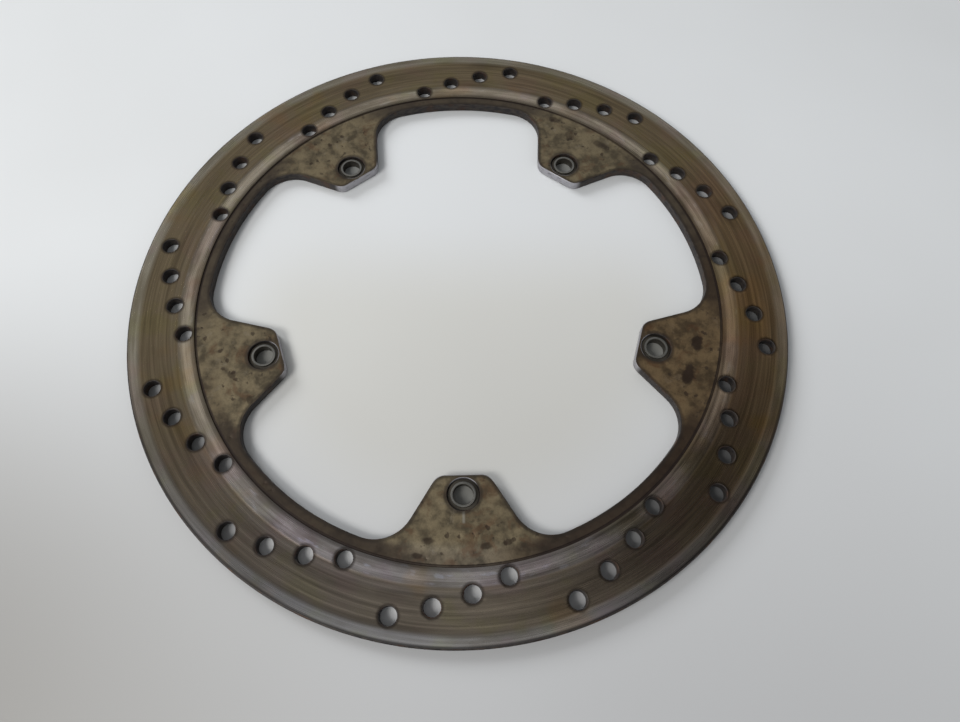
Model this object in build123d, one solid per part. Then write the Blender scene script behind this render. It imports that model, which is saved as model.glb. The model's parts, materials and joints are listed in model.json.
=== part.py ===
from build123d import *
from math import radians, tan
import os

# Motorcycle brake disc, one-piece, 300 mm, with five floating mounting bushes.
#
# A single 5 mm steel plate carries the drilled friction ring and, inside it, a slightly thinner
# ring with five inward lugs. Each lug has a stepped bore. A conical spring washer lies on the step,
# and the flange of a bush sits on the washer. The bush's sleeve reaches down through the lug, and
# its neck stands up in the middle of the counterbore. A screw through each bush clamps it to the
# wheel, so the disc can float along the bushes.
#
# Frame: millimetres, +Z up along the wheel's axle line, origin at the middle of the disc on the
# face that it lies on. Lug 1 points along -Y and the others follow counter-clockwise.

# Plate and friction ring
OUTER_RADIUS = 150.0
DISC_THICKNESS = 5.0
OUTER_CHAMFER = 0.6
OUTER_LIP_RADIUS = 145.2
INNER_LIP_RADIUS = 127.8
LIP_SLOPE_WIDTH = 0.5
WEAR_DEPTH = 0.15
FRICTION_INNER_RADIUS = 120.6
FRICTION_INNER_CHAMFER = 0.3

# Thinner lug ring, and the turned relief groove between it and the friction ring
LUG_RING_RECESS = 0.3
LUG_RING_INNER_RADIUS = 115.4
RELIEF_WIDTH = 1.0
RELIEF_DEPTH = 0.35
OPENING_CHAMFER = 0.3

# Lugs
LUG_COUNT = 5
FIRST_LUG_ANGLE = -90.0
LUG_TIP_RADIUS = 84.0
LUG_TIP_HALF_WIDTH = 10.6
LUG_FLARE_ANGLE = 32.0
LUG_TIP_FILLET = 5.5
LUG_ROOT_FILLET = 16.4
BOLT_CIRCLE_RADIUS = 92.0

# Cross-drilling: slanted rows of four holes, the outermost hole of each row leading
ROW_COUNT = 12
HOLES_IN_ROW = 4
DRILL_RADIUS = 3.5
DRILL_CHAMFER = 0.35
OUTERMOST_HOLE_CIRCLE = 140.4
HOLE_CIRCLE_STEP = 5.07
HOLE_ANGLE_STEP = 20.0 / 3.0
FIRST_ROW_ANGLE = FIRST_LUG_ANGLE + 18.0

# Stepped bore in each lug
COUNTERBORE_RADIUS = 6.75
COUNTERBORE_DEPTH = 2.6
THROUGH_BORE_RADIUS = 5.3
BORE_EDGE_CHAMFER = 0.25

# Flanged mounting bush
SLEEVE_CLEARANCE = 0.05
SCREW_HOLE_RADIUS = 4.2
FLANGE_RADIUS = 6.6
FLANGE_THICKNESS = 0.8
NECK_SET_BACK = 0.25
SLEEVE_END_HEIGHT = 0.25
BUSH_HOLE_CHAMFER = 0.3
BUSH_EDGE_CHAMFER = 0.2

# Conical spring washer
WASHER_HEIGHT = 0.48
WASHER_THICKNESS = 0.25
WASHER_INNER_RADIUS = 5.45
WASHER_OUTER_RADIUS = 6.5
WASHER_CLEARANCE = 0.01

LUG_FACE_HEIGHT = DISC_THICKNESS - LUG_RING_RECESS
SEAT_HEIGHT = LUG_FACE_HEIGHT - COUNTERBORE_DEPTH
WASHER_FOOT = SEAT_HEIGHT + WASHER_CLEARANCE
FLANGE_UNDERSIDE = WASHER_FOOT + WASHER_HEIGHT + WASHER_CLEARANCE
FLANGE_TOP = FLANGE_UNDERSIDE + FLANGE_THICKNESS
NECK_TOP = LUG_FACE_HEIGHT - NECK_SET_BACK
SLEEVE_RADIUS = THROUGH_BORE_RADIUS - SLEEVE_CLEARANCE


def revolved(section):
    """The solid that a closed (radius, height) section makes about the Z axis."""
    outline = Polyline(*[(radius, 0, height) for radius, height in section], close=True)
    return revolve(make_face(outline), Axis.Z, 360)


def upper_profile():
    """(radius, height above the lower face) of the disc's upper face, from the axis outwards."""
    groove_inner = FRICTION_INNER_RADIUS - RELIEF_WIDTH
    worn = DISC_THICKNESS - WEAR_DEPTH
    return [
        (0, LUG_FACE_HEIGHT),
        (groove_inner, LUG_FACE_HEIGHT),
        (groove_inner + RELIEF_DEPTH / 2, LUG_FACE_HEIGHT - RELIEF_DEPTH),
        (FRICTION_INNER_RADIUS, LUG_FACE_HEIGHT - RELIEF_DEPTH),
        (FRICTION_INNER_RADIUS, DISC_THICKNESS - FRICTION_INNER_CHAMFER),
        (FRICTION_INNER_RADIUS + FRICTION_INNER_CHAMFER, DISC_THICKNESS),
        (INNER_LIP_RADIUS, DISC_THICKNESS),
        (INNER_LIP_RADIUS + LIP_SLOPE_WIDTH, worn),
        (OUTER_LIP_RADIUS - LIP_SLOPE_WIDTH, worn),
        (OUTER_LIP_RADIUS, DISC_THICKNESS),
        (OUTER_RADIUS - OUTER_CHAMFER, DISC_THICKNESS),
        (OUTER_RADIUS, DISC_THICKNESS - OUTER_CHAMFER),
    ]


def turned_blank():
    """The plate before the opening and the holes are cut, the same on both faces."""
    top = upper_profile()
    bottom = [(radius, DISC_THICKNESS - height) for radius, height in reversed(top)]
    return revolved(top + bottom)


def lug_outline():
    """The lug on the +X side: a trapezium that widens from its tip out into the ring."""
    root = LUG_RING_INNER_RADIUS + LUG_ROOT_FILLET
    root_half_width = LUG_TIP_HALF_WIDTH + (root - LUG_TIP_RADIUS) * tan(radians(LUG_FLARE_ANGLE))
    corners = [
        (LUG_TIP_RADIUS, -LUG_TIP_HALF_WIDTH),
        (root, -root_half_width),
        (root, root_half_width),
        (LUG_TIP_RADIUS, LUG_TIP_HALF_WIDTH),
    ]
    return make_face(Polyline(*corners, close=True))


def lug_angles():
    return [FIRST_LUG_ANGLE + index * 360.0 / LUG_COUNT for index in range(LUG_COUNT)]


def corners_between(sketch, low, high):
    """The sketch's corners whose distance from the axis lies between two radii."""
    return [corner for corner in sketch.vertices() if low < Vector(corner.X, corner.Y).length < high]


def central_opening():
    """The opening inside the lug ring, with rounded lug tips and large fillets at the lug roots."""
    opening = Sketch() + Circle(LUG_RING_INNER_RADIUS)
    for angle in lug_angles():
        opening -= Rot(Z=angle) * lug_outline()
    opening = fillet(corners_between(opening, 0, BOLT_CIRCLE_RADIUS), LUG_TIP_FILLET)
    return fillet(corners_between(opening, BOLT_CIRCLE_RADIUS, OUTER_RADIUS), LUG_ROOT_FILLET)


def opening_cutter():
    """A prism of the opening that flares at both lug faces, which leaves a chamfer all round."""
    outline = central_opening()
    cutter = extrude(outline, DISC_THICKNESS)
    for height, direction in ((LUG_FACE_HEIGHT, -1), (LUG_RING_RECESS, 1)):
        rim = Pos(Z=height) * offset(outline, OPENING_CHAMFER)
        cutter += extrude(rim, direction * OPENING_CHAMFER, taper=45)
    return cutter


def drill_cutter():
    """One cross-drilled hole, opened out by a small chamfer at both faces."""
    wide = DRILL_RADIUS + DRILL_CHAMFER
    return revolved(
        [
            (0, 0),
            (wide, 0),
            (DRILL_RADIUS, DRILL_CHAMFER),
            (DRILL_RADIUS, DISC_THICKNESS - DRILL_CHAMFER),
            (wide, DISC_THICKNESS),
            (0, DISC_THICKNESS),
        ]
    )


def drill_places():
    """The place of every cross-drilled hole: each row steps inward as it turns."""
    places = []
    for row in range(ROW_COUNT):
        row_angle = FIRST_ROW_ANGLE + row * 360.0 / ROW_COUNT
        for index in range(HOLES_IN_ROW):
            turn = Rot(Z=row_angle + index * HOLE_ANGLE_STEP)
            places.append(turn * Pos(OUTERMOST_HOLE_CIRCLE - index * HOLE_CIRCLE_STEP))
    return places


def lug_bore_cutter():
    """The stepped bore for a bush: a counterbore for flange and washer, and a hole for the sleeve."""
    mouth = COUNTERBORE_RADIUS + BORE_EDGE_CHAMFER
    back = THROUGH_BORE_RADIUS + BORE_EDGE_CHAMFER
    return revolved(
        [
            (0, 0),
            (back, 0),
            (back, LUG_RING_RECESS),
            (THROUGH_BORE_RADIUS, LUG_RING_RECESS + BORE_EDGE_CHAMFER),
            (THROUGH_BORE_RADIUS, SEAT_HEIGHT),
            (COUNTERBORE_RADIUS, SEAT_HEIGHT),
            (COUNTERBORE_RADIUS, LUG_FACE_HEIGHT - BORE_EDGE_CHAMFER),
            (mouth, LUG_FACE_HEIGHT),
            (mouth, DISC_THICKNESS),
            (0, DISC_THICKNESS),
        ]
    )


def bolt_places():
    return [Rot(Z=angle) * Pos(BOLT_CIRCLE_RADIUS) for angle in lug_angles()]


def brake_disc():
    disc = turned_blank() - opening_cutter()
    disc -= [place * drill_cutter() for place in drill_places()]
    disc -= [place * lug_bore_cutter() for place in bolt_places()]
    return disc


def mounting_bush():
    """Sleeve through the lug, flange on the washer, neck up the counterbore, screw hole through all."""
    return revolved(
        [
            (SCREW_HOLE_RADIUS, SLEEVE_END_HEIGHT + BUSH_EDGE_CHAMFER),
            (SCREW_HOLE_RADIUS + BUSH_EDGE_CHAMFER, SLEEVE_END_HEIGHT),
            (SLEEVE_RADIUS - BUSH_EDGE_CHAMFER, SLEEVE_END_HEIGHT),
            (SLEEVE_RADIUS, SLEEVE_END_HEIGHT + BUSH_EDGE_CHAMFER),
            (SLEEVE_RADIUS, FLANGE_UNDERSIDE),
            (FLANGE_RADIUS, FLANGE_UNDERSIDE),
            (FLANGE_RADIUS, FLANGE_TOP - BUSH_EDGE_CHAMFER),
            (FLANGE_RADIUS - BUSH_EDGE_CHAMFER, FLANGE_TOP),
            (SLEEVE_RADIUS, FLANGE_TOP),
            (SLEEVE_RADIUS, NECK_TOP - BUSH_EDGE_CHAMFER),
            (SLEEVE_RADIUS - BUSH_EDGE_CHAMFER, NECK_TOP),
            (SCREW_HOLE_RADIUS + BUSH_HOLE_CHAMFER, NECK_TOP),
            (SCREW_HOLE_RADIUS, NECK_TOP - BUSH_HOLE_CHAMFER),
        ]
    )


def spring_washer():
    """Conical spring washer: its outer rim stands on the step and its inner rim carries the flange."""
    crown = WASHER_FOOT + WASHER_HEIGHT
    return revolved(
        [
            (WASHER_INNER_RADIUS, crown - WASHER_THICKNESS),
            (WASHER_OUTER_RADIUS, WASHER_FOOT),
            (WASHER_OUTER_RADIUS, WASHER_FOOT + WASHER_THICKNESS),
            (WASHER_INNER_RADIUS, crown),
        ]
    )


def write(shape, node):
    export_step(shape, f"parts/{node}.step")


os.makedirs("parts", exist_ok=True)
write(brake_disc(), "brake_disc")
for number, place in enumerate(bolt_places(), start=1):
    write(place * mounting_bush(), f"mounting_bush_{number}")
    write(place * spring_washer(), f"spring_washer_{number}")
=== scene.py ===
import json
from math import atan2, ceil, cos, pi, radians, sin, sqrt, tan

import bmesh
import bpy
import numpy as np
from mathutils import Matrix, Vector
from mathutils.geometry import delaunay_2d_cdt
from mathutils.noise import noise


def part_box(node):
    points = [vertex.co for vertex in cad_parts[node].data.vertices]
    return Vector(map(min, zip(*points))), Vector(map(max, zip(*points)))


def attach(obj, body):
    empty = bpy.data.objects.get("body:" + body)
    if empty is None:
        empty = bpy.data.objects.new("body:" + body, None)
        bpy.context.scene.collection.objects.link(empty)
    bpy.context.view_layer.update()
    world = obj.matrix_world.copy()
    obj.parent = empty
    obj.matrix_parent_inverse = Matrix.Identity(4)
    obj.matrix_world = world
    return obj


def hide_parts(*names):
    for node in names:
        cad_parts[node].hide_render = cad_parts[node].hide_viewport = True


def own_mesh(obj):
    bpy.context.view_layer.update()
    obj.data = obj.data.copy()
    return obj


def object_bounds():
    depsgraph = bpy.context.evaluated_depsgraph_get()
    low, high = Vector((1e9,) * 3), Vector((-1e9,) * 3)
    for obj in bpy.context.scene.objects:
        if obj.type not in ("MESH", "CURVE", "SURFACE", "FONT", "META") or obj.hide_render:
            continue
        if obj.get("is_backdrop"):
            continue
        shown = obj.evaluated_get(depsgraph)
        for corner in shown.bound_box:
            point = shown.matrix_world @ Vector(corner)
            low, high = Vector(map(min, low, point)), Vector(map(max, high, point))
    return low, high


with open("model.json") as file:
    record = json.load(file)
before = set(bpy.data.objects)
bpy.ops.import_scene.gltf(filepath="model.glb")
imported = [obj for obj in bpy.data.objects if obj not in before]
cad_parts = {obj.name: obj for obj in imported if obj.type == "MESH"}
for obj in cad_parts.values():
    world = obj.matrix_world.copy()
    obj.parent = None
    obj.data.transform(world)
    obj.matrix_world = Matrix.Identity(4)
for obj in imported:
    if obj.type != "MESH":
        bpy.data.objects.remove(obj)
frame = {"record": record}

# A used one-piece motorcycle brake disc with its five floating bushes, lying on a pale table.
# Shapes are worked out in millimetres, as in the CAD model, and turned into metres when a mesh is made.

MM = 0.001
CAD_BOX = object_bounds()
MOUNTS = {mount["name"]: mount for mount in frame["record"]["mounts"]}

# The disc's outline and face, from the frame where it states them and else as the CAD model has them
OUTER_RADIUS = round(CAD_BOX[1].x / MM)
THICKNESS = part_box("brake_disc")[1].z / MM
BOLT_CIRCLE_RADIUS = MOUNTS["wheel_screws"]["dims"]["pcd_mm"] / 2
SCREW_HOLE_RADIUS = MOUNTS["wheel_screws"]["dims"]["hole_r_mm"]
LUG_COUNT = MOUNTS["wheel_screws"]["dims"]["count"]
FIRST_LUG_ANGLE = radians(-90)
OUTER_CHAMFER = 0.6
RING_INNER_RADIUS = 115.4
OPENING_CHAMFER = 0.3
LUG_TIP_RADIUS = 84.0
LUG_TIP_HALF_WIDTH = 10.6
LUG_FLARE = radians(32)
LUG_TIP_FILLET = 5.5
LUG_ROOT_FILLET = 16.4
LUG_RECESS = 0.3
LUG_FACE = THICKNESS - LUG_RECESS
GROOVE_RADII = (119.6, 120.6)
GROOVE_DEPTH = 0.35
# The groove's worn outer shoulder: how far out from the groove's wall, and how far below the lip
GROOVE_SHOULDER = ((0.0, 0.25), (0.1, 0.08), (0.3, 0.0))
# How far the corners of a step are drawn in, so that its wall is not quite upright
STEP_LEAN = 0.1
SWEPT_RADII = (128.05, 144.95)
WEAR_DEPTH = 0.15
LIP_SLOPE = 0.5
LIP_CROWN = 124.4
DRILL_RADIUS = 3.5
DRILL_CHAMFER = 0.35
DRILL_MOUTH = DRILL_RADIUS + DRILL_CHAMFER
DRILL_ROWS = 12
DRILLS_IN_ROW = 4
OUTERMOST_DRILL_CIRCLE = 140.4
DRILL_CIRCLE_STEP = 5.07
DRILL_ANGLE_STEP = radians(20 / 3)
FIRST_ROW_ANGLE = FIRST_LUG_ANGLE + radians(18)
COUNTERBORE_RADIUS = 6.75
COUNTERBORE_DEPTH = 2.6
SLEEVE_BORE_RADIUS = 5.3
BORE_EDGE = 0.25

# The bushes and washers
SLEEVE_CLEARANCE = 0.05
SLEEVE_RADIUS = SLEEVE_BORE_RADIUS - SLEEVE_CLEARANCE
WASHER_SPACE = 0.5
FLANGE_THICKNESS = 0.8
BUSH_EDGE = 0.2
WASHER_INNER_RADIUS = 5.45
WASHER_THICKNESS = 0.25
WASHER_EDGE = 0.06

# The view: the camera looks at a point in millimetres, from a direction in degrees from +X
CAMERA_DIRECTION = -93.02
CAMERA_ELEVATION = 66.99
CAMERA_ROLL = 1.65
CAMERA_AIM = (8.34, -33.54, 5.0)
CAMERA_DISTANCE = 282.06
CAMERA_LENS = 23.93
FLOOR_SIZE = 20.0
HOLES_BAND = (121, 147)
BUSH_SHADE_RADII = (7, 5)
WARM_WHITE = (1.0, 0.985, 0.96)
COOL_WHITE = (0.96, 0.98, 1.0)
# The dark part of the ceiling: cosines of the angles from its middle to its edge and to full darkness
DARK_PATCH_COSINES = (0.92, 0.985)

# Mesh fineness
OUTLINE_SPACING = 1.0
CIRCLE_SPACING = 1.2
LATTICE_SPACING = 1.5
LATTICE_MARGIN = 0.8
LATTICE_CLEARANCE = 0.75
CLEAR_OF_HOLE = 0.5
EDGE_STEPS = 4
CORNER_SHARE = 0.45
SHARP_ANGLE = radians(32)
HOLE_SEGMENTS = 40
LATHE_SEGMENTS = 96
BLOCK_SIZE = 64

# Wear that is shaped in the mesh: score marks in the swept band, and a slight unevenness everywhere
SCORE_CIRCLES = (130.7, 133.4, 136.9, 139.2, 142.6)
SCORE_HALF_WIDTH = 0.28
SCORE_DEPTH = 0.035
UNEVENNESS = 0.035
UNEVEN_SCALE = 7.0
TURNED_UNEVENNESS_SHARE = 0.25
FRONT_SEED = 7
BACK_SEED = 19

# Rust pits, in a band of distances from the axis on each lug and in another round the lug ring
PIT_DEPTH = 0.16
PIT_GAP = 3.4
PIT_MARGIN = 1.0
PIT_CIRCLES = ((0.5, 6), (1.0, 9))
LUG_PITS = 9
LUG_PIT_BAND = (106, 117)
LUG_PIT_SPREAD = 0.2
LUG_PIT_RADII = (0.5, 1.5)
RING_PITS = 18
RING_PIT_BAND = (116.6, 118.4)
RING_PIT_RADII = (0.3, 0.6)

# What the disc's materials learn from the mesh: a zone per face, and how far an edge is, up to a reach
TURNED_ZONE, LUG_ZONE, WALL_ZONE = range(3)
EDGE_REACH = 4.0

# Stains on the lugs: angle in degrees, radius, depth outwards, width across, strength
STAINS = (
    (-14.0, 109.5, 5.0, 8.5, 0.9),
    (-22.7, 108.2, 5.0, 11.0, 0.9),
    (57.9, 110.5, 7.0, 5.0, 0.5),
    (49.7, 113.9, 4.0, 9.0, 0.6),
    (63.6, 116.0, 3.5, 7.0, 0.6),
    (-97.3, 111.1, 3.0, 4.5, 0.7),
    (-85.6, 113.0, 2.6, 5.0, 0.7),
    (-81.1, 112.7, 2.4, 3.4, 0.7),
    (-99.1, 117.2, 2.2, 4.0, 0.7),
    (-151.4, 103.5, 3.0, 4.5, 0.6),
    (-159.3, 106.9, 3.5, 3.5, 0.6),
)


# ---- outlines


def arc(centre, radius, start, end):
    """Points along an arc without its last one, and their directions from the centre."""
    count = max(2, ceil(abs(end - start) * radius / OUTLINE_SPACING))
    angles = np.linspace(start, end, count, endpoint=False)
    directions = np.column_stack([np.cos(angles), np.sin(angles)])
    return np.array(centre) + radius * directions, directions


def compass(count, shift=0):
    """Directions spaced evenly all round, turned on by a share of a step."""
    angles = (np.arange(count) + shift) * 2 * pi / count
    return np.column_stack([np.cos(angles), np.sin(angles)])


def line(start, end, normal):
    """Points along a straight run without its last one, and its normal at each."""
    start, end = np.array(start), np.array(end)
    count = max(2, ceil(np.linalg.norm(end - start) / OUTLINE_SPACING))
    shares = np.linspace(0, 1, count, endpoint=False)[:, None]
    return start + shares * (end - start), np.tile(normal, (count, 1))


def turned(points, angle):
    """Points, or directions, turned counter-clockwise about the axis."""
    turn = np.array([[cos(angle), sin(angle)], [-sin(angle), cos(angle)]])
    return points @ turn


def lug_angles():
    return [FIRST_LUG_ANGLE + index * 2 * pi / LUG_COUNT for index in range(LUG_COUNT)]


def half_lug():
    """The upper half of the outline round the lug on the +X axis, from its tip to half way along the bay.

    Each point comes with a direction that points into the steel.
    """
    along = np.array([cos(LUG_FLARE), sin(LUG_FLARE)])
    out = np.array([-sin(LUG_FLARE), cos(LUG_FLARE)])
    corner = np.array([LUG_TIP_RADIUS, LUG_TIP_HALF_WIDTH])
    corner_cut = LUG_TIP_FILLET * tan((pi / 2 - LUG_FLARE) / 2)
    tip_centre = np.array([LUG_TIP_RADIUS + LUG_TIP_FILLET, LUG_TIP_HALF_WIDTH - corner_cut])
    base = corner + LUG_ROOT_FILLET * out
    reach = RING_INNER_RADIUS - LUG_ROOT_FILLET
    run = -base @ along + sqrt((base @ along) ** 2 - base @ base + reach**2)
    root_centre = base + run * along
    root_angle = atan2(root_centre[1], root_centre[0])
    half_bay = pi / LUG_COUNT
    tip_points, tip_directions = arc(tip_centre, LUG_TIP_FILLET, pi, pi / 2 + LUG_FLARE)
    runs = [
        line((LUG_TIP_RADIUS, 0), (LUG_TIP_RADIUS, tip_centre[1]), (1, 0)),
        (tip_points, -tip_directions),
        line(corner + corner_cut * along, corner + run * along, -out),
        arc(root_centre, LUG_ROOT_FILLET, LUG_FLARE - pi / 2, root_angle),
        arc((0, 0), RING_INNER_RADIUS, root_angle, half_bay),
    ]
    return np.vstack([points for points, _ in runs]), np.vstack([normals for _, normals in runs])


def opening_outline():
    """The whole edge of the central opening, counter-clockwise, with directions into the steel."""
    points, normals = half_lug()
    mirror = np.array([1, -1])
    one_points = np.vstack([(points[1:] * mirror)[::-1], points])
    one_normals = np.vstack([(normals[1:] * mirror)[::-1], normals])
    all_points = np.vstack([turned(one_points, angle) for angle in lug_angles()])
    return all_points, np.vstack([turned(one_normals, angle) for angle in lug_angles()])


def opening_edge():
    """The opening's edge on a face, inside its rounding."""
    points, directions = opening_outline()
    return points + OPENING_CHAMFER * directions


def drill_centres():
    centres = []
    for row in range(DRILL_ROWS):
        for index in range(DRILLS_IN_ROW):
            radius = OUTERMOST_DRILL_CIRCLE - index * DRILL_CIRCLE_STEP
            angle = FIRST_ROW_ANGLE + row * 2 * pi / DRILL_ROWS + index * DRILL_ANGLE_STEP
            centres.append((radius * cos(angle), radius * sin(angle)))
    return np.array(centres)


def bolt_centres():
    return np.array([(BOLT_CIRCLE_RADIUS * cos(a), BOLT_CIRCLE_RADIUS * sin(a)) for a in lug_angles()])


# ---- the disc's faces


def face_profile():
    """Radii and heights of the disc's upper face, with the step at the groove a hair off upright."""
    groove_floor = LUG_FACE - GROOVE_DEPTH
    inner, outer = GROOVE_RADII
    low, high = SWEPT_RADII
    worn = THICKNESS - WEAR_DEPTH
    profile = [
        (0, LUG_FACE),
        (inner, LUG_FACE),
        (inner + GROOVE_DEPTH / 2, groove_floor),
        (outer - STEP_LEAN, groove_floor),
    ]
    profile += [(outer + outwards, THICKNESS - below) for outwards, below in GROOVE_SHOULDER]
    profile += [(low - LIP_SLOPE / 2, THICKNESS), (low + LIP_SLOPE / 2, worn)]
    for radius in SCORE_CIRCLES:
        profile += [
            (radius - SCORE_HALF_WIDTH, worn),
            (radius, worn - SCORE_DEPTH),
            (radius + SCORE_HALF_WIDTH, worn),
        ]
    profile += [(high - LIP_SLOPE / 2, worn), (high + LIP_SLOPE / 2, THICKNESS), (OUTER_RADIUS, THICKNESS)]
    return np.array(profile)


PROFILE = face_profile()


def pit_candidates(rng):
    """Random rust pits as (distance from the axis, angle, radius), on the lugs and on the lug ring."""
    for lug_angle in lug_angles():
        for _ in range(LUG_PITS):
            distance = rng.uniform(*LUG_PIT_BAND)
            spread = (distance - LUG_TIP_RADIUS) / (RING_INNER_RADIUS - LUG_TIP_RADIUS)
            aside = rng.uniform(-LUG_PIT_SPREAD, LUG_PIT_SPREAD) * spread
            yield distance, lug_angle + aside, rng.uniform(*LUG_PIT_RADII)
    for _ in range(RING_PITS):
        yield rng.uniform(*RING_PIT_BAND), rng.uniform(0, 2 * pi), rng.uniform(*RING_PIT_RADII)


def rust_pits(seed):
    """Pits as (x, y, radius) that lie wholly on the steel and clear of each other."""
    outline, _ = opening_outline()
    bolts = bolt_centres()
    pits = np.empty((0, 3))
    for distance, angle, radius in pit_candidates(np.random.default_rng(seed)):
        place = np.array([[distance * cos(angle), distance * sin(angle)]])
        if inside(place, outline)[0] or nearest(place, outline)[0] < radius + PIT_MARGIN:
            continue
        if nearest(place, bolts)[0] < COUNTERBORE_RADIUS + radius + PIT_MARGIN:
            continue
        if len(pits) and nearest(place, pits[:, :2])[0] < PIT_GAP:
            continue
        pits = np.vstack([pits, (*place[0], radius)])
    return pits


def pit_depth(points, pits):
    """How deep the pits, which aren't quite round, are at each point: a share of their greatest depth."""
    share = np.zeros(len(points))
    for x, y, radius in pits:
        across, along = points[:, 0] - x, points[:, 1] - y
        turn = np.arctan2(along, across)
        reach = radius * (1 + 0.22 * np.sin(2 * turn + x) + 0.14 * np.sin(3 * turn + y))
        share = np.maximum(share, np.clip(1 - (across**2 + along**2) / reach**2, 0, 1))
    return share


def uneven(points, seed):
    """A gentle rise and fall of a face, from 0 to 1."""
    scaled = points / UNEVEN_SCALE
    return np.array([0.5 + 0.5 * noise((x, y, seed)) for x, y in scaled])


def face_drop(points, pits, seed):
    """How far the worn face lies below its plain profile at each point, in millimetres."""
    radius = np.hypot(*points.T)
    rough = np.where(radius < GROOVE_RADII[0], 1.0, TURNED_UNEVENNESS_SHARE)
    return UNEVENNESS * rough * uneven(points, seed) + PIT_DEPTH * pit_depth(points, pits)


def inside(points, outline):
    """Which points lie inside a closed outline, by counting crossings."""
    found = np.zeros(len(points), bool)
    start, end = outline, np.roll(outline, -1, axis=0)
    for (x0, y0), (x1, y1) in zip(start, end):
        spans = (y0 > points[:, 1]) != (y1 > points[:, 1])
        if spans.any():
            crossing = x0 + (points[:, 1] - y0) * (x1 - x0) / (y1 - y0 if y1 != y0 else 1)
            found ^= spans & (points[:, 0] < crossing)
    return found


def nearest(points, others):
    """The distance from each point to the nearest of some others."""
    found = np.full(len(points), np.inf)
    for block in np.array_split(others, ceil(len(others) / BLOCK_SIZE)):
        gaps = points[:, None, :] - block[None, :, :]
        found = np.minimum(found, np.hypot(gaps[..., 0], gaps[..., 1]).min(axis=1))
    return found


def ring_lattice():
    """Points on circles over the ring, each circle half a step on from the last."""
    points = []
    radii = np.arange(RING_INNER_RADIUS + LATTICE_MARGIN, OUTER_RADIUS - LATTICE_MARGIN, LATTICE_SPACING)
    for index, radius in enumerate(radii):
        count = round(2 * pi * radius / LATTICE_SPACING)
        points.append(radius * compass(count, 0.5 * (index % 2)))
    return np.vstack(points)


def lug_lattice():
    """Points on a triangular grid over the lugs, inside the ring."""
    row_height = LATTICE_SPACING * sqrt(3) / 2
    rows = ceil(RING_INNER_RADIUS / row_height)
    columns = ceil(RING_INNER_RADIUS / LATTICE_SPACING)
    points = np.array([
        ((column + 0.5 * (row % 2)) * LATTICE_SPACING, row * row_height)
        for row in range(-rows, rows + 1)
        for column in range(-columns, columns + 1)
    ])
    return points[np.hypot(*points.T) < RING_INNER_RADIUS + LATTICE_MARGIN / 2]


class FacePlan:
    """The flat pattern of one face: closed loops, broken circles and loose points, to triangulate."""

    def __init__(self):
        self.points = []
        self.edges = []

    def add(self, points, edges=()):
        first = len(self.points)
        self.points += [tuple(point) for point in points]
        self.edges += [(first + a, first + b) for a, b in edges]
        return list(range(first, len(self.points)))

    def loop(self, points):
        count = len(points)
        return self.add(points, [(i, (i + 1) % count) for i in range(count)])

    def broken_circle(self, radius, holes, clear):
        """A circle that stops short of each hole."""
        count = round(2 * pi * radius / CIRCLE_SPACING)
        points = radius * compass(count)
        kept = nearest(points, holes) > clear
        numbers = np.cumsum(kept) - 1
        pairs = [(i, (i + 1) % count) for i in range(count)]
        self.add(points[kept], [(numbers[i], numbers[j]) for i, j in pairs if kept[i] and kept[j]])

    def pit(self, x, y, radius):
        """The middle of a rust pit and circles of points round it."""
        self.add([(x, y)])
        for share, count in PIT_CIRCLES:
            self.add((x, y) + share * radius * compass(count))

    def triangulate(self):
        """Triangles over the whole pattern, and for each point given, the vertex that it became."""
        vectors = [Vector(point) for point in self.points]
        coords, _, faces, originals, _, _ = delaunay_2d_cdt(vectors, self.edges, [], 0, 1e-6)
        vertex_of = {}
        for vertex, given in enumerate(originals):
            for point in given:
                vertex_of[point] = vertex
        return np.array([tuple(co) for co in coords]), np.array(faces), vertex_of


def disc_loops(bore_mouth):
    """Every closed edge of one face: (points, directions into the steel, inset of the face's own edge).

    First the rim, then the opening, the drilled holes and the bolt bores. A bore's points all lie in its
    middle, so that its inset is its mouth's radius.
    """
    rim_points, rim_directions = arc((0, 0), OUTER_RADIUS, 0, 2 * pi)
    loops = [(rim_points, -rim_directions, OUTER_CHAMFER)]
    loops.append((*opening_outline(), OPENING_CHAMFER))
    for centre in drill_centres():
        loops.append((*hole_circle(centre, DRILL_RADIUS), DRILL_CHAMFER))
    for centre in bolt_centres():
        loops.append((*hole_circle(centre, 0.0), bore_mouth))
    return loops


def hole_circle(centre, radius):
    """Points round a hole and their directions away from its middle."""
    directions = compass(HOLE_SEGMENTS)
    return np.array(centre) + radius * directions, directions


def open_lattice(opening, bore_mouth, pits):
    """Loose points all over one face, clear of its edges, circles and pits."""
    lattice = np.vstack([ring_lattice(), lug_lattice()])
    radius = np.hypot(*lattice.T)
    keep = nearest(lattice, drill_centres()) > DRILL_MOUTH + LATTICE_CLEARANCE
    keep &= nearest(lattice, bolt_centres()) > bore_mouth + LATTICE_CLEARANCE
    keep &= nearest(lattice, opening) > LATTICE_CLEARANCE
    keep &= nearest(lattice, pits[:, :2]) > PIT_GAP / 2
    keep &= radius < OUTER_RADIUS - OUTER_CHAMFER - LATTICE_CLEARANCE
    for circle in PROFILE[1:-1, 0]:
        keep &= np.abs(radius - circle) > LATTICE_CLEARANCE / 2
    keep[keep] = ~inside(lattice[keep], opening)
    return lattice[keep]


def on_steel(points, opening, bore_mouth):
    """Which points of a face lie inside its rim and outside its opening and holes."""
    chord = cos(pi / HOLE_SEGMENTS)
    solid = np.hypot(*points.T) < OUTER_RADIUS - OUTER_CHAMFER
    solid &= nearest(points, drill_centres()) > DRILL_MOUTH * chord
    solid &= nearest(points, bolt_centres()) > bore_mouth * chord
    return solid & ~inside(points, opening)


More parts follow.
